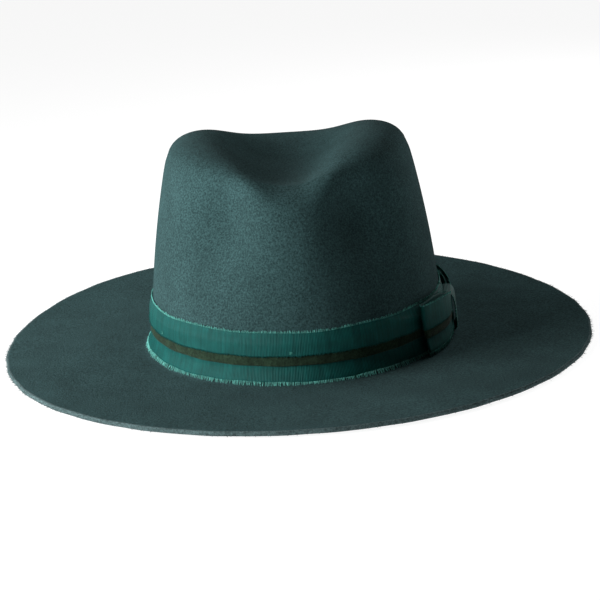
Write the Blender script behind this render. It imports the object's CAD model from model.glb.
"""Looks of the felt hat: felt, frayed ribbons, bow, sweatband and lining, on a pale floor."""
import math

import bpy
import numpy as np
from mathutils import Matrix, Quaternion, Vector


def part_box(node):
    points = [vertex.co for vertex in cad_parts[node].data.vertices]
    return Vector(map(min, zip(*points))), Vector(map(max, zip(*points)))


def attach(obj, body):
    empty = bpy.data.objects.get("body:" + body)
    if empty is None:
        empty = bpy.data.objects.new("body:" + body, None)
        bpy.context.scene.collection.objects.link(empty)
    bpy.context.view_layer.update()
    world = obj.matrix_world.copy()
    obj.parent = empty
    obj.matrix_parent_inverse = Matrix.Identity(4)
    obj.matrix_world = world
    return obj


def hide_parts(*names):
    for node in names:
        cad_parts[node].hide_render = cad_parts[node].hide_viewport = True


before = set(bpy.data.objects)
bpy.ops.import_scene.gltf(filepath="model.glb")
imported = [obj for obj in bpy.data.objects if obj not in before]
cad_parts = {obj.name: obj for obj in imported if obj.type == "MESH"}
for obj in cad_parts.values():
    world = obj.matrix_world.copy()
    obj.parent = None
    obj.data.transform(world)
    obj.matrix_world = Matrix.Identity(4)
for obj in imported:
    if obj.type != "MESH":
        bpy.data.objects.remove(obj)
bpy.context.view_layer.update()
MM = 0.001
rng = np.random.default_rng(7)

# Shape of the hat, in millimetres, as in the CAD --------------------------------------------------
CROWN_HALF_LENGTH, CROWN_HALF_WIDTH = 104.4, 87.0
OPEN_CROWN_HEIGHT = 131.5
BRIM_HALF_LENGTH, BRIM_HALF_WIDTH = 187.0, 174.8
BRIM_THICKNESS, CROWN_THICKNESS = 2.6, 2.4
WALL_LEAN, LEAN_HEIGHT, LEAN_POWER = 0.155, 105.0, 1.7
CORNER_POWER_ACROSS, CORNER_POWER_UP = 2.2, 30.0
FRONT_DROP, FRONT_DROP_AT = 9.0, 62.0
BACK_DROP, BACK_DROP_AT = 16.0, 66.0
BREAK_FLARE, BREAK_HEIGHT = 4.2, 6.5
CREASE_DEPTH, CREASE_FRONT_SHARE, CREASE_POWER = 25.0, 0.33, 2.4
CREASE_FRONT_FALL, CREASE_BACK_FALL = 0.8, 1.5
CREASE_HALF_LENGTH_FRONT, CREASE_HALF_LENGTH_BACK = 72.0, 74.0
CREASE_WIDTH_FRONT, CREASE_WIDTH_MIDDLE, CREASE_WIDTH_BACK = 21.0, 33.0, 30.0
PINCH_DEPTH, PINCH_ANGLE, PINCH_SPREAD = 11.0, 31.0, 16.0
PINCH_HEIGHT, PINCH_TALL = 92.0, 27.0
NOSE_OFFSET = -0.5
FLAT_TO_FRONT, FLAT_TO_BACK = -60.0, 40.0
FRONT_LIFT, BACK_LIFT = 1.2, 4.0
WALL_TOP_SHARE = 0.85
WALL_TOP = WALL_TOP_SHARE * OPEN_CROWN_HEIGHT
CORNER_SHARE = (1 - WALL_TOP_SHARE ** CORNER_POWER_UP) ** (1 / CORNER_POWER_ACROSS)


def ease(value, low, high):
    share = np.clip((value - low) / (high - low), 0, 1)
    return share * share * (3 - 2 * share)


def wall(z):
    return 1 - WALL_LEAN * (np.clip(z, 0, None) / LEAN_HEIGHT) ** LEAN_POWER


def half_cosine(y, length):
    return np.cos(np.clip(np.abs(y) / length, 0, 1) * np.pi / 2)


def crease(x, y, top_share):
    front = y < 0
    share = np.where(front, half_cosine(y, CREASE_HALF_LENGTH_FRONT), half_cosine(y, CREASE_HALF_LENGTH_BACK))
    front_depth = CREASE_FRONT_SHARE + (1 - CREASE_FRONT_SHARE) * share ** CREASE_FRONT_FALL
    depth = np.where(front, front_depth, share ** CREASE_BACK_FALL)
    end_width = np.where(front, CREASE_WIDTH_FRONT, CREASE_WIDTH_BACK)
    width = end_width + (CREASE_WIDTH_MIDDLE - end_width) * share
    centre = NOSE_OFFSET * np.clip(-y / 70, 0, 1)
    across = np.exp(-(np.abs(x - centre) / width) ** CREASE_POWER)
    return CREASE_DEPTH * depth * across * ease(top_share, 0.55, 0.97)


def pinch(x, y, z):
    angle = np.degrees(np.arctan2(x / CROWN_HALF_WIDTH, -y / CROWN_HALF_LENGTH))
    share = np.hypot(x / CROWN_HALF_WIDTH, y / CROWN_HALF_LENGTH)
    middle = NOSE_OFFSET * 0.6
    around = sum(np.exp(-((angle - side * PINCH_ANGLE - middle) / PINCH_SPREAD) ** 2) for side in (-1, 1))
    return PINCH_DEPTH * around * np.exp(-((z - PINCH_HEIGHT) / PINCH_TALL) ** 2) * ease(share, 0.15, 0.75)


def crown_point(angle, v):
    """Points on the outside of the crown.

    angle is in degrees from the front. v goes from 0 to 1 up the wall, and from 1 to 2 over the top."""
    angle, v = np.broadcast_arrays(np.asarray(angle, float), np.asarray(v, float))
    low = np.clip(WALL_TOP * v, 0, WALL_TOP)
    share_low = wall(low) * (1 - (low / OPEN_CROWN_HEIGHT) ** CORNER_POWER_UP) ** (1 / CORNER_POWER_ACROSS)
    top = CORNER_SHARE * np.clip(2 - v, 0, 1)
    high = OPEN_CROWN_HEIGHT * (1 - top ** CORNER_POWER_ACROSS) ** (1 / CORNER_POWER_UP)
    share = np.where(v <= 1, share_low, top * wall(high))
    z = np.where(v <= 1, low, high)
    turn = np.radians(angle)
    x = CROWN_HALF_WIDTH * share * np.sin(turn)
    y = -CROWN_HALF_LENGTH * share * np.cos(turn)
    top_share = z / OPEN_CROWN_HEIGHT
    front_drop = FRONT_DROP * np.clip(-y / FRONT_DROP_AT, 0, 1.6) ** 2
    back_drop = BACK_DROP * np.clip(y / BACK_DROP_AT, 0, 1.5) ** 2
    drop = np.where(y < 0, front_drop, back_drop)
    inwards = pinch(x, y, z)
    nx, ny = x / CROWN_HALF_WIDTH ** 2, y / CROWN_HALF_LENGTH ** 2
    length = np.hypot(nx, ny) + 1e-9
    height = z - drop * top_share ** 6 - crease(x, y, top_share)
    return np.stack([x - inwards * nx / length, y - inwards * ny / length, height], -1)


def below(angle, v, depth):
    """Points at a depth under the crown's outside."""
    v = np.minimum(v, 2 - 4e-3)
    step = 1e-3
    around = crown_point(angle + 0.5, v) - crown_point(angle - 0.5, v)
    upwards = crown_point(angle, v + step) - crown_point(angle, v - step)
    normal = np.cross(around, upwards)
    normal /= np.linalg.norm(normal, axis=-1, keepdims=True) + 1e-12
    return crown_point(angle, v) - normal * np.asarray(depth)[..., None]


def rise(y):
    front = FRONT_LIFT * (np.clip(FLAT_TO_FRONT - y, 0, None) / (BRIM_HALF_LENGTH + FLAT_TO_FRONT)) ** 2
    back = BACK_LIFT * (np.clip(y - FLAT_TO_BACK, 0, None) / (BRIM_HALF_LENGTH - FLAT_TO_BACK)) ** 2
    return front + back


def on_wall(angle, z, off):
    """Points that stand off the crown wall by off, at height z."""
    angle, z, off = np.broadcast_arrays(*[np.asarray(value, float) for value in (angle, z, off)])
    turn = np.radians(angle)
    half_width, half_length = CROWN_HALF_WIDTH * wall(z), CROWN_HALF_LENGTH * wall(z)
    x, y = half_width * np.sin(turn), -half_length * np.cos(turn)
    nx, ny = np.sin(turn) / half_width, -np.cos(turn) / half_length
    length = np.hypot(nx, ny)
    return np.stack([x + off * nx / length, y + off * ny / length, z], -1)


def ripple(angle, seed, waves, reach=1.0):
    """A smooth random line round the hat, between about -reach and reach."""
    draw = np.random.default_rng(seed)
    total = np.zeros_like(np.asarray(angle, float))
    for wave in waves:
        total = total + draw.normal() * np.sin(np.radians(angle) * wave + draw.uniform(0, math.tau))
    return reach * total / math.sqrt(len(waves))


# Mesh tools ---------------------------------------------------------------------------------------
def add_piece(name, points, faces, slot, *materials, uv=None):
    """A mesh piece, from points in millimetres, that rides on the hat."""
    mesh = bpy.data.meshes.new(name)
    mesh.from_pydata((np.asarray(points) * MM).tolist(), [], faces)
    mesh.update()
    mesh.polygons.foreach_set("use_smooth", [True] * len(mesh.polygons))
    if uv is not None:
        layer = mesh.uv_layers.new(name="UVMap")
        layer.data.foreach_set("uv", (np.asarray(uv) * MM).ravel())
    piece = bpy.data.objects.new(name, mesh)
    bpy.context.scene.collection.objects.link(piece)
    for material in materials:
        mesh.materials.append(material)
    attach(piece, "root")
    return piece


def grid_faces(rows, columns, close_rows, close_columns, start=0):
    """Quads of a grid of points, and the (row, column) of each corner before wrapping."""
    i = np.arange(rows if close_rows else rows - 1)
    j = np.arange(columns if close_columns else columns - 1)
    i, j = [a.ravel() for a in np.meshgrid(i, j, indexing="ij")]
    corners = [(i, j), (i, j + 1), (i + 1, j + 1), (i + 1, j)]
    index = np.stack([start + (a % rows) * columns + b % columns for a, b in corners], -1)
    place = np.stack([np.stack(corner, -1) for corner in corners], 1)
    return index, place


def ribbon_piece(name, outside, inside, lengths, widths, slot, material, around=True):
    """A thin closed band from two grids of points, rows across its width and columns along its length.

    lengths and widths are the ribbon's own coordinates, for the weave, in millimetres."""
    rows, columns = outside.shape[:2]
    points = np.concatenate([outside, inside[::-1]]).reshape(-1, 3)
    faces, place = grid_faces(2 * rows, columns, True, around)
    along = np.append(lengths, lengths[-1] + (lengths[-1] - lengths[-2]))
    across = np.concatenate([widths, widths[::-1], widths[:1]])
    uv = np.stack([along[place[..., 1]], across[place[..., 0]]], -1)
    faces = faces.tolist()
    if not around:
        first = [r * columns for r in range(2 * rows)]
        last = [r * columns + columns - 1 for r in range(2 * rows)]
        faces += [first[::-1], last]
        uv = np.concatenate([uv.reshape(-1, 2), np.zeros((4 * rows, 2))])
    return add_piece(name, points, faces, slot, material, uv=uv.reshape(-1, 2))


def threads(roots, tips, radius, bend, sides=4, joints=4):
    """Points and faces of many thin tapered threads from roots to tips, each bent a little."""
    count = len(roots)
    share = np.linspace(0, 1, joints)[None, :, None]
    sideways = rng.normal(0, bend, (count, 1, 3))
    line = roots[:, None] + (tips - roots)[:, None] * share + sideways * share ** 2
    along = tips - roots
    along /= np.linalg.norm(along, axis=1, keepdims=True) + 1e-9
    first = np.cross(along, [0.31, 0.52, 0.79])
    first /= np.linalg.norm(first, axis=1, keepdims=True)
    second = np.cross(along, first)
    turns = np.arange(sides) / sides * math.tau
    taper = (1 - 0.55 * share[..., 0]) * radius
    ring = first[:, None] * np.cos(turns)[None, :, None] + second[:, None] * np.sin(turns)[None, :, None]
    points = line[:, :, None] + ring[:, None] * taper[..., None, None]
    faces = []
    for k in range(count):
        start = k * joints * sides
        quads, _ = grid_faces(joints, sides, False, True, start)
        faces += quads.tolist()
        faces.append(list(range(start + sides - 1, start - 1, -1)))
        faces.append([start + (joints - 1) * sides + s for s in range(sides)])
    return points.reshape(-1, 3), faces


# Materials ----------------------------------------------------------------------------------------
class Look:
    """A small node builder for one material."""

    def __init__(self, name, **shader):
        self.material = bpy.data.materials.new(name)
        self.material.use_nodes = True
        self.tree = self.material.node_tree
        self.shader = self.tree.nodes["Principled BSDF"]
        for socket, value in shader.items():
            self.shader.inputs[socket.replace("_", " ")].default_value = value

    def node(self, kind, **settings):
        made = self.tree.nodes.new(kind)
        for key, value in settings.items():
            if hasattr(made, key):
                setattr(made, key, value)
            else:
                made.inputs[key.replace("_", " ")].default_value = value
        return made

    def link(self, out, into):
        self.tree.links.new(out, into)

    def place(self, flat=False):
        return self.node("ShaderNodeTexCoord").outputs["UV" if flat else "Object"]

    def stretched(self, out, scale):
        mapping = self.node("ShaderNodeMapping")
        mapping.inputs["Scale"].default_value = scale
        self.link(out, mapping.inputs["Vector"])
        return mapping.outputs["Vector"]

    def noise(self, where, size, detail=3.0, roughness=0.6):
        """Noise whose lumps are about size metres."""
        made = self.node("ShaderNodeTexNoise", Scale=1 / size, Detail=detail, Roughness=roughness)
        self.link(where, made.inputs["Vector"])
        return made.outputs["Fac"]

    def wave(self, where, period, distortion=0.0):
        """Straight ribs along the first coordinate, one every period metres."""
        made = self.node("ShaderNodeTexWave", Scale=math.tau / (20 * period), Distortion=distortion)
        made.inputs["Detail Scale"].default_value = 2.0
        self.link(where, made.inputs["Vector"])
        return made.outputs["Fac"]

    def ramp(self, factor, *stops):
        made = self.node("ShaderNodeValToRGB")
        elements = made.color_ramp.elements
        while len(elements) < len(stops):
            elements.new(0.5)
        for element, (position, colour) in zip(elements, stops):
            element.position = position
            element.color = (*colour, 1.0)
        self.link(factor, made.inputs["Fac"])
        return made.outputs["Color"]

    def mix(self, factor, a, b, blend="MIX"):
        """A mix of two colours, each a plain colour or another node's output."""
        made = self.node("ShaderNodeMix", data_type="RGBA", blend_type=blend)
        factors = [socket for socket in made.inputs if socket.type == "VALUE"]
        colours = [socket for socket in made.inputs if socket.type == "RGBA"]
        factors[0].default_value = factor
        for value, into in zip((a, b), colours):
            if hasattr(value, "links"):
                self.link(value, into)
            else:
                into.default_value = (*value, 1.0)
        return [socket for socket in made.outputs if socket.type == "RGBA"][0]

    def colour(self, out):
        self.link(out, self.shader.inputs["Base Color"])

    def bump(self, *layers):
        """Stacked bumps: (height output, depth in metres)."""
        normal = None
        for height, depth in layers:
            made = self.node("ShaderNodeBump", Strength=1.0, Distance=depth)
            self.link(height, made.inputs["Height"])
            if normal is not None:
                self.link(normal, made.inputs["Normal"])
            normal = made.outputs["Normal"]
        self.link(normal, self.shader.inputs["Normal"])


def scaled(colour, share):
    return tuple(c * share for c in colour)


FELT = (0.0255, 0.0555, 0.057)
EMERALD = (0.003, 0.060, 0.054)
MINT = (0.085, 0.31, 0.27)
OLIVE = (0.0115, 0.024, 0.0135)


def felt_look(name, base, light):
    """Short-napped felt: cloudy colour, fine flecks, a few pale fibres and a trace of sheen."""
    look = Look(name, Roughness=1.0, Specular_IOR_Level=0.02, Sheen_Weight=0.012, Sheen_Roughness=0.6)
    where = look.place()
    cloud = look.noise(where, 0.028, 2.0)
    fleck = look.noise(where, 0.0010, 3.0, 0.7)
    colour = look.ramp(cloud, (0.3, scaled(base, 0.88)), (0.7, scaled(base, 1.12)))
    flecks = look.ramp(fleck, (0.34, (0.5, 0.5, 0.5)), (0.66, (1.5, 1.5, 1.5)))
    colour = look.mix(1.0, colour, flecks, "MULTIPLY")
    pale = look.ramp(look.noise(where, 0.0006, 2.0), (0.66, (0.0, 0.0, 0.0)), (0.8, light))
    look.colour(look.mix(1.0, colour, pale, "ADD"))
    look.bump((look.noise(where, 0.006, 3.0), 0.0003), (fleck, 0.0004))
    return look.material


def grosgrain_look(name, base):
    """Ribbed ribbon: ribs and streaks across its width, and worn, paler patches."""
    look = Look(name, Roughness=0.6, Specular_IOR_Level=0.1)
    flat = look.place(flat=True)
    ribs = look.wave(flat, 0.00085)
    wear = look.noise(look.place(), 0.009, 3.0)
    streak = look.noise(look.stretched(flat, (1.0, 0.06, 1.0)), 0.0016, 3.0)
    colour = look.ramp(ribs, (0.0, scaled(base, 0.82)), (1.0, scaled(base, 1.14)))
    colour = look.mix(1.0, colour, look.ramp(wear, (0.3, (0.82,) * 3), (0.7, (1.2,) * 3)), "MULTIPLY")
    colour = look.mix(1.0, colour, look.ramp(streak, (0.35, (0.8,) * 3), (0.65, (1.22,) * 3)), "MULTIPLY")
    look.colour(colour)
    look.bump((ribs, 0.00012), (wear, 0.0004))
    return look.material


def suede_look(name, base):
    look = Look(name, Roughness=0.95, Specular_IOR_Level=0.08, Sheen_Weight=0.05, Sheen_Roughness=0.5)
    where = look.place()
    nap = look.noise(where, 0.0012, 4.0, 0.7)
    rubbed = look.noise(where, 0.007, 2.0)
    colour = look.ramp(nap, (0.3, scaled(base, 0.5)), (0.7, scaled(base, 1.7)))
    look.colour(look.mix(1.0, colour, look.ramp(rubbed, (0.35, (0.75,) * 3), (0.7, (1.35,) * 3)), "MULTIPLY"))
    look.bump((nap, 0.0005), (rubbed, 0.0006))
    return look.material


def thread_look(name, base):
    look = Look(name, Roughness=0.75, Specular_IOR_Level=0.2, Sheen_Weight=0.05)
    tint = look.noise(look.place(), 0.003, 2.0)
    look.colour(look.ramp(tint, (0.3, scaled(base, 0.55)), (0.7, scaled(base, 1.4))))
    return look.material


def leather_look(name, base):
    look = Look(name, Roughness=0.5, Specular_IOR_Level=0.4)
    where = look.place()
    grain = look.node("ShaderNodeTexVoronoi", Scale=1 / 0.0011, feature="SMOOTH_F1")
    look.link(where, grain.inputs["Vector"])
    worn = look.noise(where, 0.02, 3.0)
    look.colour(look.ramp(worn, (0.3, scaled(base, 0.7)), (0.7, scaled(base, 1.25))))
    look.bump((grain.outputs["Distance"], 0.00018), (worn, 0.0003))
    return look.material


def satin_look(name, base):
    look = Look(name, Roughness=0.34, Specular_IOR_Level=0.5, Sheen_Weight=0.2, Anisotropic=0.4)
    where = look.place()
    slub = look.noise(look.stretched(where, (1.0, 1.0, 0.1)), 0.0009, 2.0)
    cloud = look.noise(where, 0.03, 2.0)
    look.colour(look.ramp(cloud, (0.3, scaled(base, 0.8)), (0.7, scaled(base, 1.2))))
    look.bump((slub, 0.00008))
    return look.material


def woven_look(name, base, period=0.0007):
    look = Look(name, Roughness=0.8, Specular_IOR_Level=0.2)
    where = look.place()
    turned = look.node("ShaderNodeTexWave", bands_direction="Z", Scale=math.tau / (20 * period))
    look.link(where, turned.inputs["Vector"])
    tint = look.noise(where, 0.004, 3.0)
    colour = look.ramp(tint, (0.3, scaled(base, 0.75)), (0.7, scaled(base, 1.25)))
    ribs = look.ramp(turned.outputs["Fac"], (0.0, scaled(base, 0.6)), (1.0, base))
    look.colour(look.mix(0.5, colour, ribs))
    look.bump((turned.outputs["Fac"], 0.0001))
    return look.material


# Felt body ----------------------------------------------------------------------------------------
AROUND = 360
ANGLES = np.arange(AROUND) * 360.0 / AROUND
CUT_RADIUS = 0.9
BACK_RIGHT_LIFT, BACK_RIGHT_ANGLE, BACK_RIGHT_SPREAD = 4.0, 227.0, 32.0


def brim_relief(angle, share):
    """The hand-blocked brim's unevenness, upwards only: none at the crown (share 0), most at the rim (1)."""
    wave = 0.25 * (1 + ripple(angle, 11, (2, 3, 5), 0.6))
    lifted = BACK_RIGHT_LIFT * np.exp(-((angle - BACK_RIGHT_ANGLE) / BACK_RIGHT_SPREAD) ** 2)
    return share ** 2 * (lifted + np.clip(wave, 0, None))


def brim_row(share, height, inset=0.0):
    """One ring of the brim, from the crown (share 0) to the rim (share 1), at a height over its underside."""
    foot = on_wall(ANGLES, 0.0, BREAK_FLARE * 1.5)
    turn = np.radians(ANGLES)
    rough = ripple(ANGLES, 3, (5, 9, 17, 31, 53), 0.22)
    rim = np.stack([BRIM_HALF_WIDTH * np.sin(turn), -BRIM_HALF_LENGTH * np.cos(turn), 0 * turn], -1)
    outwards = rim / np.linalg.norm(rim, axis=1, keepdims=True)
    rim = rim + outwards * (rough - 0.3 - inset)[:, None]
    row = foot * (1 - share) + rim * share
    row[:, 2] = rise(row[:, 1]) + brim_relief(ANGLES, share) + height
    return row


def break_rows(count):
    """The outside of the fold between brim and wall, from the brim upwards."""
    rows = []
    for share in np.linspace(0.0, 1.0, count, endpoint=False):
        flare = BREAK_FLARE * 1.5 * (1 - share) ** 2.4
        z = BRIM_THICKNESS + BREAK_HEIGHT * share ** 1.5
        row = on_wall(ANGLES, z, flare)
        row[:, 2] += rise(row[:, 1]) * (1 - share)
        rows.append(row)
    return rows


def felt_rows():
    """Rings down the outside from the top, round the brim's edge and up the inside to the top again.

    With them come the number of rings before the cut edge, and the number in it."""
    over = 2 - np.linspace(0.03, 1, 70) ** 1.15
    down = np.linspace(1.0, (BRIM_THICKNESS + BREAK_HEIGHT) / WALL_TOP, 90)[1:]
    outside = [crown_point(ANGLES, v) for v in [*over, *down]]
    top = [brim_row(share, BRIM_THICKNESS) for share in np.linspace(0.02, 1, 60)[:-1]]
    cut = []
    middle = BRIM_THICKNESS / 2
    for turn in np.linspace(90, -90, 9):
        lean = math.radians(turn)
        inset = CUT_RADIUS * (1 - math.cos(lean)) * 0.6
        cut.append(brim_row(1.0, middle + middle * math.sin(lean), inset))
    under = [brim_row(share, 0.0) for share in np.linspace(1, 0.02, 60)[1:]]
    inner_break = []
    for share in np.linspace(0, 1, 8):
        row = on_wall(ANGLES, 6.0 * share ** 1.4, -CROWN_THICKNESS + 2.4 * (1 - share) ** 2)
        row[:, 2] += rise(row[:, 1]) * (1 - share)
        inner_break.append(row)
    over_inside = 2 - np.linspace(0.03, 1, 60)[::-1][1:] ** 1.15
    up = np.concatenate([np.linspace(9.0 / WALL_TOP, 1.0, 50), over_inside])
    inside = [below(ANGLES, np.full(AROUND, v), np.full(AROUND, CROWN_THICKNESS)) for v in up]
    before_cut = outside + break_rows(12)[::-1] + top
    return before_cut + cut + under + inner_break + inside, len(before_cut), len(cut)


def felt_body(felt, cut_felt):
    rows, cut_start, cut_rows = felt_rows()
    points = np.concatenate(rows)
    faces, place = grid_faces(len(rows), AROUND, False, True)
    ring = place[:, 0, 0]
    faces = faces[:, ::-1].tolist()
    poles = [crown_point(0, 2.0), crown_point(0, 2.0) - [0, 0, CROWN_THICKNESS]]
    last = (len(rows) - 1) * AROUND
    for j in range(AROUND):
        following = (j + 1) % AROUND
        faces.append([j, following, len(points)])
        faces.append([last + following, last + j, len(points) + 1])
    points = np.concatenate([points, poles])
    piece = add_piece("felt_crown_and_brim", points, faces, "felt", felt, cut_felt)
    is_cut = (ring >= cut_start - 1) & (ring < cut_start + cut_rows - 1)
    marks = np.zeros(len(faces), dtype=np.int32)
    marks[: len(is_cut)] = is_cut
    piece.data.polygons.foreach_set("material_index", marks)
    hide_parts("felt_body")


def cut_edge_fuzz(material):
    """Short loose fibres along the raw edge of the brim."""
    count = 2600
    columns = rng.integers(0, AROUND, count)
    heights = rng.uniform(0.1, BRIM_THICKNESS, count)
    rim = brim_row(1.0, 0.0)
    edge = rim[columns]
    following = rim[(columns + 1) % AROUND]
    along = rng.uniform(0, 1, (count, 1))
    roots = edge + (following - edge) * along + np.stack([0 * heights, 0 * heights, heights], -1)
    outwards = edge * [1, 1, 0]
    outwards = outwards / np.linalg.norm(outwards, axis=1, keepdims=True)
    wander = rng.normal(0, 0.45, (count, 3)) * [1, 1, 0.7]
    tips = roots + outwards * rng.uniform(0.3, 1.1, (count, 1)) + wander
    tips[:, 2] = np.clip(tips[:, 2], 0.15, None)
    points, faces = threads(roots - outwards * 0.4, tips, 0.09, 0.15, 3, 3)
    add_piece("brim_edge_fibres", points, faces, "felt", material)


# Hatband ------------------------------------------------------------------------------------------
FELT_GAP, RIBBON, STRIP, LAYER_GAP = 0.2, 0.5, 0.6, 0.1
BASE_Z, STRIP_Z, TOP_Z = (4.4, 31.0), (13.5, 25.0), (19.0, 32.5)
BASE_FLARE, BASE_FLARE_TOP = 2.5, 12.0
ON_BASE = FELT_GAP + RIBBON + LAYER_GAP
ON_STRIP = ON_BASE + STRIP + LAYER_GAP
BAND_AROUND = 900
BAND_ANGLES = np.arange(BAND_AROUND) * 360.0 / BAND_AROUND
WRINKLE_ANGLE, WRINKLE_HEIGHT, WRINKLE_LIFT = 45.0, 27.5, 0.8
TUCK_Z = 30.2                   # the base ribbon ends here, and the top ribbon turns in to the felt above it


def arc_lengths(angles):
    """Distance round the hat at each angle, in millimetres."""
    points = on_wall(angles, 15.0, 1.0)
    steps = np.linalg.norm(np.diff(points, axis=0), axis=1)
    return np.concatenate([[0.0], np.cumsum(steps)])


def base_off(z):
    share = np.clip((BASE_FLARE_TOP - z) / (BASE_FLARE_TOP - BASE_Z[0]), 0, 1)
    return FELT_GAP + BASE_FLARE * share ** 1.4


def top_off(z):
    """The top ribbon steps off the strip, and its upper edge tucks in against the felt."""
    off_strip = (ON_STRIP - ON_BASE) * ease(z, STRIP_Z[1] + 0.5, 30.0)
    return ON_STRIP - off_strip - (ON_BASE - FELT_GAP) * ease(z, TUCK_Z, TOP_Z[1])


def hatband_layer(name, node, z_range, off, thickness, edge_seeds, slot, material, wrinkle=0.0):
    """One ribbon of the hatband, with slightly wandering edges and shallow puckers."""
    share = np.linspace(0, 1, 22)[:, None]
    low = z_range[0] + ripple(BAND_ANGLES, edge_seeds[0], (3, 7, 13, 23), 0.28)
    high = z_range[1] + ripple(BAND_ANGLES, edge_seeds[1], (2, 5, 11), 0.3)
    z = low * (1 - share) + high * share
    pucker = 0.14 * (1 + ripple(BAND_ANGLES, edge_seeds[0] + 50, (9, 17, 29), 0.8)) * share * (1 - share) * 2
    slant = BAND_ANGLES[None] - WRINKLE_ANGLE + 3.2 * (z - WRINKLE_HEIGHT)
    fold = wrinkle * np.exp(-(slant / 5) ** 2) * np.exp(-((z - WRINKLE_HEIGHT) / 3.2) ** 2)
    stand_off = off(z) + np.clip(pucker, 0, None) + fold
    outside = on_wall(BAND_ANGLES[None], z, stand_off + thickness)
    inside = on_wall(BAND_ANGLES[None], z, stand_off)
    widths = np.linspace(0, z_range[1] - z_range[0], 22)
    piece = ribbon_piece(name, outside, inside, arc_lengths(BAND_ANGLES), widths, slot, material)
    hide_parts(node)
    return piece, (low, high, off, thickness)


def band_fringe(name, edge, z_edge, direction, length, count, angles, material, spread=0.35, outward=0.5):
    """Loose cross threads left along a ribbon's cut edge.

    direction is -1 for a lower edge and 1 for an upper one."""
    low, high, off, thickness = edge
    at = np.linspace(angles[0], angles[1], count, endpoint=False) + rng.normal(0, 0.08, count)
    line = np.interp(at % 360, np.append(BAND_ANGLES, 360.0), np.append(z_edge, z_edge[0]))
    reach = length * rng.uniform(0.65, 1.2, count) * (1 + 0.25 * ripple(at, 5, (7, 19, 37)))
    start = line - direction * 0.5
    end = line + direction * np.clip(reach, 0.3, None)
    base = off(start) + thickness + 0.02
    slope = (off(line) - off(line - direction * 1.0)) * reach
    roots = on_wall(at, start, base)
    tip_angles = at + rng.normal(0, spread, count)
    tips = on_wall(tip_angles, end, off(line) + thickness + slope + outward * rng.uniform(0, 1, count))
    points, faces = threads(roots, tips, 0.27, 0.12)
    return add_piece(name, points, faces, "grosgrain", material)


def hatband(ribbon, suede, mint):
    base, base_edge = hatband_layer(
        "hatband_base_ribbon_cloth", "hatband_base_ribbon", (BASE_Z[0], TUCK_Z), base_off, RIBBON, (21, 22),
        "grosgrain", ribbon)
    strip, _ = hatband_layer(
        "hatband_strip_suede", "hatband_middle_strip", STRIP_Z, lambda z: ON_BASE + 0 * z, STRIP, (23, 24),
        "suede", suede)
    top, top_edge = hatband_layer(
        "hatband_top_ribbon_cloth", "hatband_top_ribbon", TOP_Z, top_off, RIBBON, (25, 26),
        "grosgrain", ribbon, WRINKLE_LIFT)
    whole = (0.0, 360.0)
    low = band_fringe("hatband_lower_fringe", base_edge, base_edge[0], -1, 2.2, 680, whole, mint, 0.2, 0.9)
    high = band_fringe("hatband_upper_fringe", top_edge, top_edge[1], 1, 0.75, 760, whole, mint, 0.35, 0.3)
    inner = band_fringe("hatband_inner_fringe", top_edge, top_edge[0], -1, 0.45, 620, whole, ribbon, 0.4, 0.3)


# Bow ----------------------------------------------------------------------------------------------
BOW_ANGLE, BOW_REACH, BOW_DEGREES = 84.0, 58.0, 0.58     # middle, half length in mm, degrees per mm
KNOT_HALF_ANGLE = 6.0
KNOT_OFF, KNOT_HEIGHT = 4.35, 15.6                      # its middle
KNOT_OUTSIDE, KNOT_INSIDE = (4.6, 11.2), (4.05, 10.65)  # half its thickness and half its height
KNOT_SQUARENESS, KNOT_SPREAD, KNOT_WAIST = 0.62, 0.06, 0.03
KNOT_WEAVE_WIDTH = 21.0
BOW_MIDDLE_OFF, SEAT_OFF = 5.75, 2.2
SEAT_FLARE, SEAT_FLARE_HEIGHT = 1.7, 8.8
LOOP_HOLLOW = 1.2
GATHER_LENGTH = 20.0
FRONT_SWELL, BACK_SWELL = 0.4, -0.35
BOW_HEIGHT_MIDDLE = 17.0
GATHER_UP, GATHER_OFF = 0.48, 0.62      # part of its height and thickness that the bow loses at the knot


def seat(z):
    """How far the bow's seat is off the wall: just outside the hatband, and more at its flared lower edge."""
    return SEAT_OFF + SEAT_FLARE * np.clip((BASE_FLARE_TOP - z) / SEAT_FLARE_HEIGHT, 0, 1)


def bow_point(along, off, z):
    """A point of the bow: how far along the hat, how far off its seat, and how high before gathering."""
    gather = np.exp(-(along / GATHER_LENGTH) ** 2)
    back_loop = 1 - 0.2 * ease(along, 0.0, 30.0)
    z = BOW_HEIGHT_MIDDLE + (z - BOW_HEIGHT_MIDDLE) * (1 - GATHER_UP * gather) * back_loop
    off = BOW_MIDDLE_OFF - SEAT_OFF + (off - BOW_MIDDLE_OFF + SEAT_OFF) * (1 - GATHER_OFF * gather)
    return on_wall(BOW_ANGLE + along * BOW_DEGREES, z, seat(z) + off)


def loop_path(reach, half_gap, count=96):
    """A flattened ring in (along, off): round folds at both ends, fuller in the middle of each loop."""
    turn = np.arange(count) / count * math.tau
    cosine, sine = np.cos(turn), np.sin(turn)
    along = reach * np.sign(cosine) * np.abs(cosine) ** 0.55
    swell = np.where(along < 0, FRONT_SWELL, BACK_SWELL)
    fullness = 1 + swell * np.sin(np.clip(np.abs(along) / reach, 0, 1) * math.pi) ** 2
    off = half_gap * fullness * np.sign(sine) * np.abs(sine) ** 0.35
    return along, off


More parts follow.
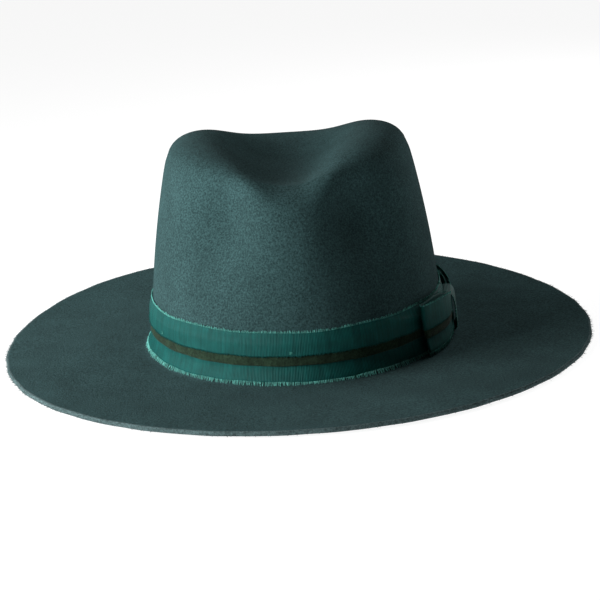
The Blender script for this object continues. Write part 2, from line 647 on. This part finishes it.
def bow_layer(name, node, z_range, reach, half_gap, thickness, seed, slot, material):
    rows = 16
    along, off = loop_path(reach, half_gap)
    far_along, far_off = loop_path(reach + thickness, half_gap + thickness)
    share = np.linspace(0, 1, rows)[:, None]
    wander = ripple(np.degrees(np.arctan2(off, along)), seed, (1, 2, 3), 0.35)
    z = z_range[0] + (z_range[1] - z_range[0]) * share + wander[None] * (2 * share - 1)
    middle = BOW_MIDDLE_OFF - SEAT_OFF
    inside = bow_point(along[None] + 0 * z, off[None] + middle + 0 * z, z)
    outside = bow_point(far_along[None] + 0 * z, far_off[None] + middle + 0 * z, z)
    steps = np.linalg.norm(np.diff(outside[0], axis=0), axis=1)
    lengths = np.concatenate([[0.0], np.cumsum(steps)])
    widths = np.linspace(0, z_range[1] - z_range[0], rows)
    piece = ribbon_piece(name, outside, inside, lengths, widths, slot, material)
    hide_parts(node)
    flat = (lengths[-1] * MM, (z_range[1] - z_range[0]) * MM)
    return piece, outside, flat


def edge_threads(name, outer_row, inner_row, length, per_mm, material, spread=0.3):
    """Loose threads along an edge, that carry on from the ribbon's own direction."""
    steps = np.linalg.norm(np.diff(outer_row, axis=0, append=outer_row[:1]), axis=1)
    total = steps.sum()
    count = int(total * per_mm)
    at = (np.arange(count) + rng.uniform(-0.3, 0.3, count)) / count * total
    start = np.concatenate([[0.0], np.cumsum(steps)])
    closed_outer = np.concatenate([outer_row, outer_row[:1]])
    closed_inner = np.concatenate([inner_row, inner_row[:1]])
    place = np.stack([np.interp(at, start, closed_outer[:, k]) for k in range(3)], -1)
    before = np.stack([np.interp(at, start, closed_inner[:, k]) for k in range(3)], -1)
    out = place - before
    out /= np.linalg.norm(out, axis=1, keepdims=True)
    tips = place + out * length * rng.uniform(0.6, 1.25, (count, 1)) + rng.normal(0, spread, (count, 3)) * 0.5
    points, faces = threads(place - out * 0.5, tips, 0.22, 0.12)
    return add_piece(name, points, faces, "grosgrain", material)


def bow_knot(material, mint):
    """The ribbon wrapped round the middle of the loops, standing a little off them."""
    path, rows = 88, 18
    turn = np.arange(path) / path * math.tau
    cosine, sine = np.cos(turn), np.sin(turn)
    across = np.sign(cosine) * np.abs(cosine) ** KNOT_SQUARENESS
    upwards = np.sign(sine) * np.abs(sine) ** KNOT_SQUARENESS
    share = np.linspace(-1, 1, rows)[:, None]
    spread = 1 + KNOT_SPREAD * share ** 2
    waist = 1 - KNOT_WAIST * (1 - share ** 2)

    def skin(half_off, half_z):
        off = KNOT_OFF + half_off * across * spread
        z = KNOT_HEIGHT + half_z * upwards * waist
        angle = BOW_ANGLE + KNOT_HALF_ANGLE * share + 0 * z
        return on_wall(angle, z, seat(z) + off - SEAT_OFF)

    outside = skin(*KNOT_OUTSIDE)
    inside = skin(*KNOT_INSIDE)
    steps = np.linalg.norm(np.diff(outside[rows // 2], axis=0), axis=1)
    lengths = np.concatenate([[0.0], np.cumsum(steps)])
    widths = np.linspace(0, KNOT_WEAVE_WIDTH, rows)
    piece = ribbon_piece("bow_knot_ribbon", outside, inside, lengths, widths, "grosgrain", material)
    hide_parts("bow_knot")
    fringe = edge_threads("bow_knot_fringe", outside[0], outside[1], 0.5, 1.2, mint, 0.2)


def bow(ribbon, suede, mint):
    base_gap = LOOP_HOLLOW / 2
    strip_gap = base_gap + RIBBON + LAYER_GAP
    top_gap = strip_gap + STRIP + LAYER_GAP
    base, base_skin, base_flat = bow_layer(
        "bow_base_cloth", "bow_base_ribbon", (BASE_Z[0] + 0.6, BASE_Z[1]),
        BOW_REACH - 2.6, base_gap, RIBBON, 31, "grosgrain", ribbon)
    strip, _, strip_flat = bow_layer(
        "bow_strip_suede", "bow_middle_strip", STRIP_Z, BOW_REACH - 1.6, strip_gap, STRIP, 32,
        "suede", suede)
    top, top_skin, top_flat = bow_layer(
        "bow_top_cloth", "bow_top_ribbon", TOP_Z, BOW_REACH - 0.6, top_gap, RIBBON, 33,
        "grosgrain", ribbon)
    low = edge_threads("bow_lower_fringe", base_skin[0], base_skin[1], 2.0, 1.1, mint)
    high = edge_threads("bow_upper_fringe", top_skin[-1], top_skin[-2], 0.7, 1.15, mint)
    bow_knot(ribbon, mint)


# Inside -------------------------------------------------------------------------------------------
LINING_DEPTH, LINING = 2.95, 0.3
LINING_LOW, LINING_SEAM, PIPING_TOP = 27.0, 86.0, 87.4
PIPING_RADIUS = 0.55
LINING_AROUND = 288
LINING_ANGLES = np.arange(LINING_AROUND) * 360.0 / LINING_AROUND


def lining_skin(levels, extra):
    """Rings of lining at levels of the crown's wall, hanging in shallow vertical folds."""
    rows = []
    folds = 0.5 * (1 + ripple(LINING_ANGLES, 41, (7, 13, 22, 31), 0.7)).clip(0, 2.5)
    for v, looseness in levels:
        depth = LINING_DEPTH + extra + folds * looseness
        rows.append(below(LINING_ANGLES, np.full(LINING_AROUND, v), depth))
    return np.stack(rows)


def lining_side(satin):
    side_v = np.linspace(LINING_LOW / WALL_TOP, (LINING_SEAM - 0.2) / WALL_TOP, 30)
    share = np.linspace(0, 1, 30)
    levels = list(zip(side_v, np.sin(share * math.pi) ** 0.7))
    lengths = np.linspace(0, 560, LINING_AROUND)
    side = ribbon_piece(
        "lining_side_satin", lining_skin(levels, 0.0), lining_skin(levels, LINING), lengths, share * 59,
        "satin", satin)
    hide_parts("lining_side")


def lining_tip(satin):
    """The lining over the top: two skins, closed at the middle and joined along the seam."""
    tip_v = [(PIPING_TOP + 0.2) / WALL_TOP, 0.81, 0.86, 0.92, 0.97, *np.linspace(1.0, 1.96, 40)]
    levels = [(v, 0.0) for v in tip_v]
    above, under = lining_skin(levels, 0.0), lining_skin(levels, LINING)
    rows = len(levels)
    points = np.concatenate([above, under[::-1]]).reshape(-1, 3)
    faces, _ = grid_faces(2 * rows, LINING_AROUND, False, True)
    faces = [face for face in faces.tolist() if face[0] // LINING_AROUND != rows - 1]
    middle, lower = rows - 1, rows
    last = 2 * rows - 1
    poles = [above[-1].mean(0), under[-1].mean(0)]
    for j in range(LINING_AROUND):
        k = (j + 1) % LINING_AROUND
        faces.append([middle * LINING_AROUND + j, middle * LINING_AROUND + k, len(points)])
        faces.append([lower * LINING_AROUND + k, lower * LINING_AROUND + j, len(points) + 1])
        faces.append([last * LINING_AROUND + j, last * LINING_AROUND + k, k, j])
    points = np.concatenate([points, poles])
    tip = add_piece("lining_tip_satin", points, faces, "satin", satin)
    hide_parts("lining_tip")


def lining_piping(material):
    seam_v = (LINING_SEAM + PIPING_TOP) / 2 / WALL_TOP
    centre = below(LINING_ANGLES, np.full(LINING_AROUND, seam_v), np.full(LINING_AROUND, LINING_DEPTH + 0.5))
    outwards = centre * [1, 1, 0]
    outwards /= np.linalg.norm(outwards, axis=1, keepdims=True)
    turns = np.arange(8) / 8 * math.tau
    directions = [outwards * math.cos(turn) + np.array([0, 0, math.sin(turn)]) for turn in turns]
    rings = np.stack([centre + PIPING_RADIUS * direction for direction in directions])
    faces, _ = grid_faces(8, LINING_AROUND, True, True)
    cord = add_piece("lining_piping_cord", rings.reshape(-1, 3), faces.tolist(), "piping", material)
    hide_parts("lining_piping")


def back_bow(material):
    """The small ribbon bow over the sweatband's join, at the back."""
    low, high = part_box("sweatband_bow")
    centre = (np.array(low) + np.array(high)) / 2 / MM
    path, rows = 40, 8
    turn = np.arange(path) / path * math.tau
    share = np.linspace(-1, 1, rows)[:, None]
    points, faces = [], []
    for side in (1, -1):
        for skin in (0.0, 0.25):
            along = side * (5.4 + (5.2 - skin) * np.cos(turn)) + 0 * share
            squeeze = 0.35 + 0.65 * np.clip(np.abs(along) / 9.0, 0, 1)
            depth = (1.15 - skin) * np.sin(turn) * squeeze
            height = 2.6 * share * squeeze
            points.append(np.stack([centre[0] + along, centre[1] + depth, centre[2] + height], -1))
    for loop in range(2):
        grid = np.concatenate([points[2 * loop], points[2 * loop + 1][::-1]])
        quads, _ = grid_faces(2 * rows, path, True, True, loop * 2 * rows * path)
        points[2 * loop], points[2 * loop + 1] = grid[:rows], grid[rows:]
        faces += quads.tolist()
    loops = np.concatenate([p.reshape(-1, 3) for p in points])
    start = len(loops)
    ring = np.arange(24) / 24 * math.tau
    knot_rows = []
    for x, grow in ((-1.1, 0.8), (-0.9, 1.0), (0.0, 1.06), (0.9, 1.0), (1.1, 0.8)):
        knot = [x + 0 * ring, 1.2 * grow * np.sin(ring), 1.9 * grow * np.cos(ring)]
        knot_rows.append(centre + np.stack(knot, -1))
    quads, _ = grid_faces(5, 24, False, True, start)
    faces += quads.tolist()
    faces.append([start + s for s in range(23, -1, -1)])
    faces.append([start + 4 * 24 + s for s in range(24)])
    piece = add_piece("sweatband_bow_ribbon", np.concatenate([loops, *knot_rows]), faces, "tape", material)
    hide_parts("sweatband_bow")


TACK_ANGLES, TACK_HEIGHT, TACK_HALF_DEGREES = (-3, -62, -118, 178, 132), 21.0, 0.55


def tacks(material):
    """Three small thread stitches at each of the CAD's plain hatband tacks."""
    roots, tips = [], []
    for angle in TACK_ANGLES:
        for line in (-0.45, 0.0, 0.4):
            slant = rng.uniform(-0.35, 0.35)
            height = TACK_HEIGHT + line
            roots.append(on_wall(angle - TACK_HALF_DEGREES, height - slant, ON_STRIP + RIBBON + 0.12))
            tips.append(on_wall(angle + TACK_HALF_DEGREES, height + slant, ON_STRIP + RIBBON + 0.3))
    points, faces = threads(np.array(roots), np.array(tips), 0.24, 0.05, 6, 5)
    piece = add_piece("hatband_tack_threads", points, faces, "thread", material)
    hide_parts("hatband_tacks")


def repaint(node, material):
    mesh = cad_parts[node].data
    mesh.materials.clear()
    mesh.materials.append(material)


# Stage --------------------------------------------------------------------------------------------
ELEVATION, ROLL = math.radians(16.2), math.radians(3.5)
CAMERA_DISTANCE = 1.2
CAMERA_AIM = Vector((0.0022, 0.0056, 0.0206))
SENSOR, LENS = 36.0, 119.5


def camera():
    data = bpy.data.cameras.new("camera")
    data.sensor_width = SENSOR
    data.lens = LENS
    piece = bpy.data.objects.new("camera", data)
    bpy.context.scene.collection.objects.link(piece)
    away = Vector((0, -math.cos(ELEVATION), math.sin(ELEVATION)))
    piece.location = Vector((0, 0, BRIM_THICKNESS / 2 * MM)) + away * CAMERA_DISTANCE
    looking = (CAMERA_AIM - piece.location).to_track_quat("-Z", "Y")
    piece.rotation_mode = "QUATERNION"
    piece.rotation_quaternion = looking @ Quaternion((0, 0, 1), -ROLL)
    bpy.context.scene.camera = piece


LAMP_AIM = Vector((0, 0, 0.05))


def lamp(name, towards, distance, size, power):
    data = bpy.data.lights.new(name, "AREA")
    data.size = size
    data.energy = power
    piece = bpy.data.objects.new(name, data)
    bpy.context.scene.collection.objects.link(piece)
    piece.location = LAMP_AIM + Vector(towards).normalized() * distance
    piece.rotation_euler = (LAMP_AIM - piece.location).to_track_quat("-Z", "Y").to_euler()


FLOOR_HALF = 4.0
SKY = 0.03


def stage():
    """A plain pale floor, a large key light from the left, and two weaker ones from behind."""
    half = FLOOR_HALF
    mesh = bpy.data.meshes.new("floor")
    corners = [(-half, -half, 0), (half, -half, 0), (half, half, 0), (-half, half, 0)]
    mesh.from_pydata(corners, [], [(0, 1, 2, 3)])
    floor = bpy.data.objects.new("floor", mesh)
    bpy.context.scene.collection.objects.link(floor)
    look = Look("floor_paper", Base_Color=(0.22, 0.22, 0.22, 1.0), Roughness=1.0, Specular_IOR_Level=0.0,
                Emission_Color=(1, 1, 1, 1), Emission_Strength=0.92)
    mesh.materials.append(look.material)
    world = bpy.data.worlds.new("studio")
    bpy.context.scene.world = world
    world.use_nodes = True
    sky = world.node_tree.nodes["Background"]
    sky.inputs["Color"].default_value = (1, 1, 1, 1)
    sky.inputs["Strength"].default_value = SKY
    lamp("window_left", (-0.82, -0.42, 0.22), 0.8, 0.42, 11.6)
    lamp("window_back_left", (-0.80, 0.22, 0.50), 0.62, 0.36, 2.1)
    lamp("back_right", (0.62, 0.74, 0.60), 1.0, 0.6, 4.6)
    bpy.context.scene.view_settings.view_transform = "Standard"


# Build --------------------------------------------------------------------------------------------
felt = felt_look("felt", FELT, (0.012, 0.018, 0.018))
felt_cut = felt_look("felt_cut_edge", (0.062, 0.096, 0.098), (0.03, 0.04, 0.04))
ribbon = grosgrain_look("grosgrain", EMERALD)
suede = suede_look("suede", OLIVE)
mint = thread_look("frayed_threads", MINT)

felt_body(felt, felt_cut)
cut_edge_fuzz(felt_cut)
hatband(ribbon, suede, mint)
bow(ribbon, suede, mint)
tacks(thread_look("sewing_thread", (0.03, 0.16, 0.13)))
satin = satin_look("satin", (0.02, 0.06, 0.055))
piping = satin_look("piping", (0.03, 0.09, 0.08))
lining_side(satin)
lining_tip(satin)
lining_piping(piping)
back_bow(satin_look("back_bow_ribbon", (0.012, 0.03, 0.03)))
repaint("sweatband", leather_look("sweatband_leather", (0.16, 0.075, 0.035)))
repaint("sweatband_reed", thread_look("reed", (0.5, 0.48, 0.42)))
repaint("reed_tape", woven_look("reed_tape", (0.03, 0.045, 0.045)))
repaint("sweatband_seam_tape", woven_look("seam_tape", (0.03, 0.045, 0.045)))
repaint("sweatband_stitches", thread_look("stitch_thread", (0.25, 0.2, 0.13)))
repaint("size_label", woven_look("label", (0.6, 0.58, 0.5), 0.0005))
repaint("bow_tacks", thread_look("bow_thread", (0.03, 0.16, 0.13)))
stage()
camera()
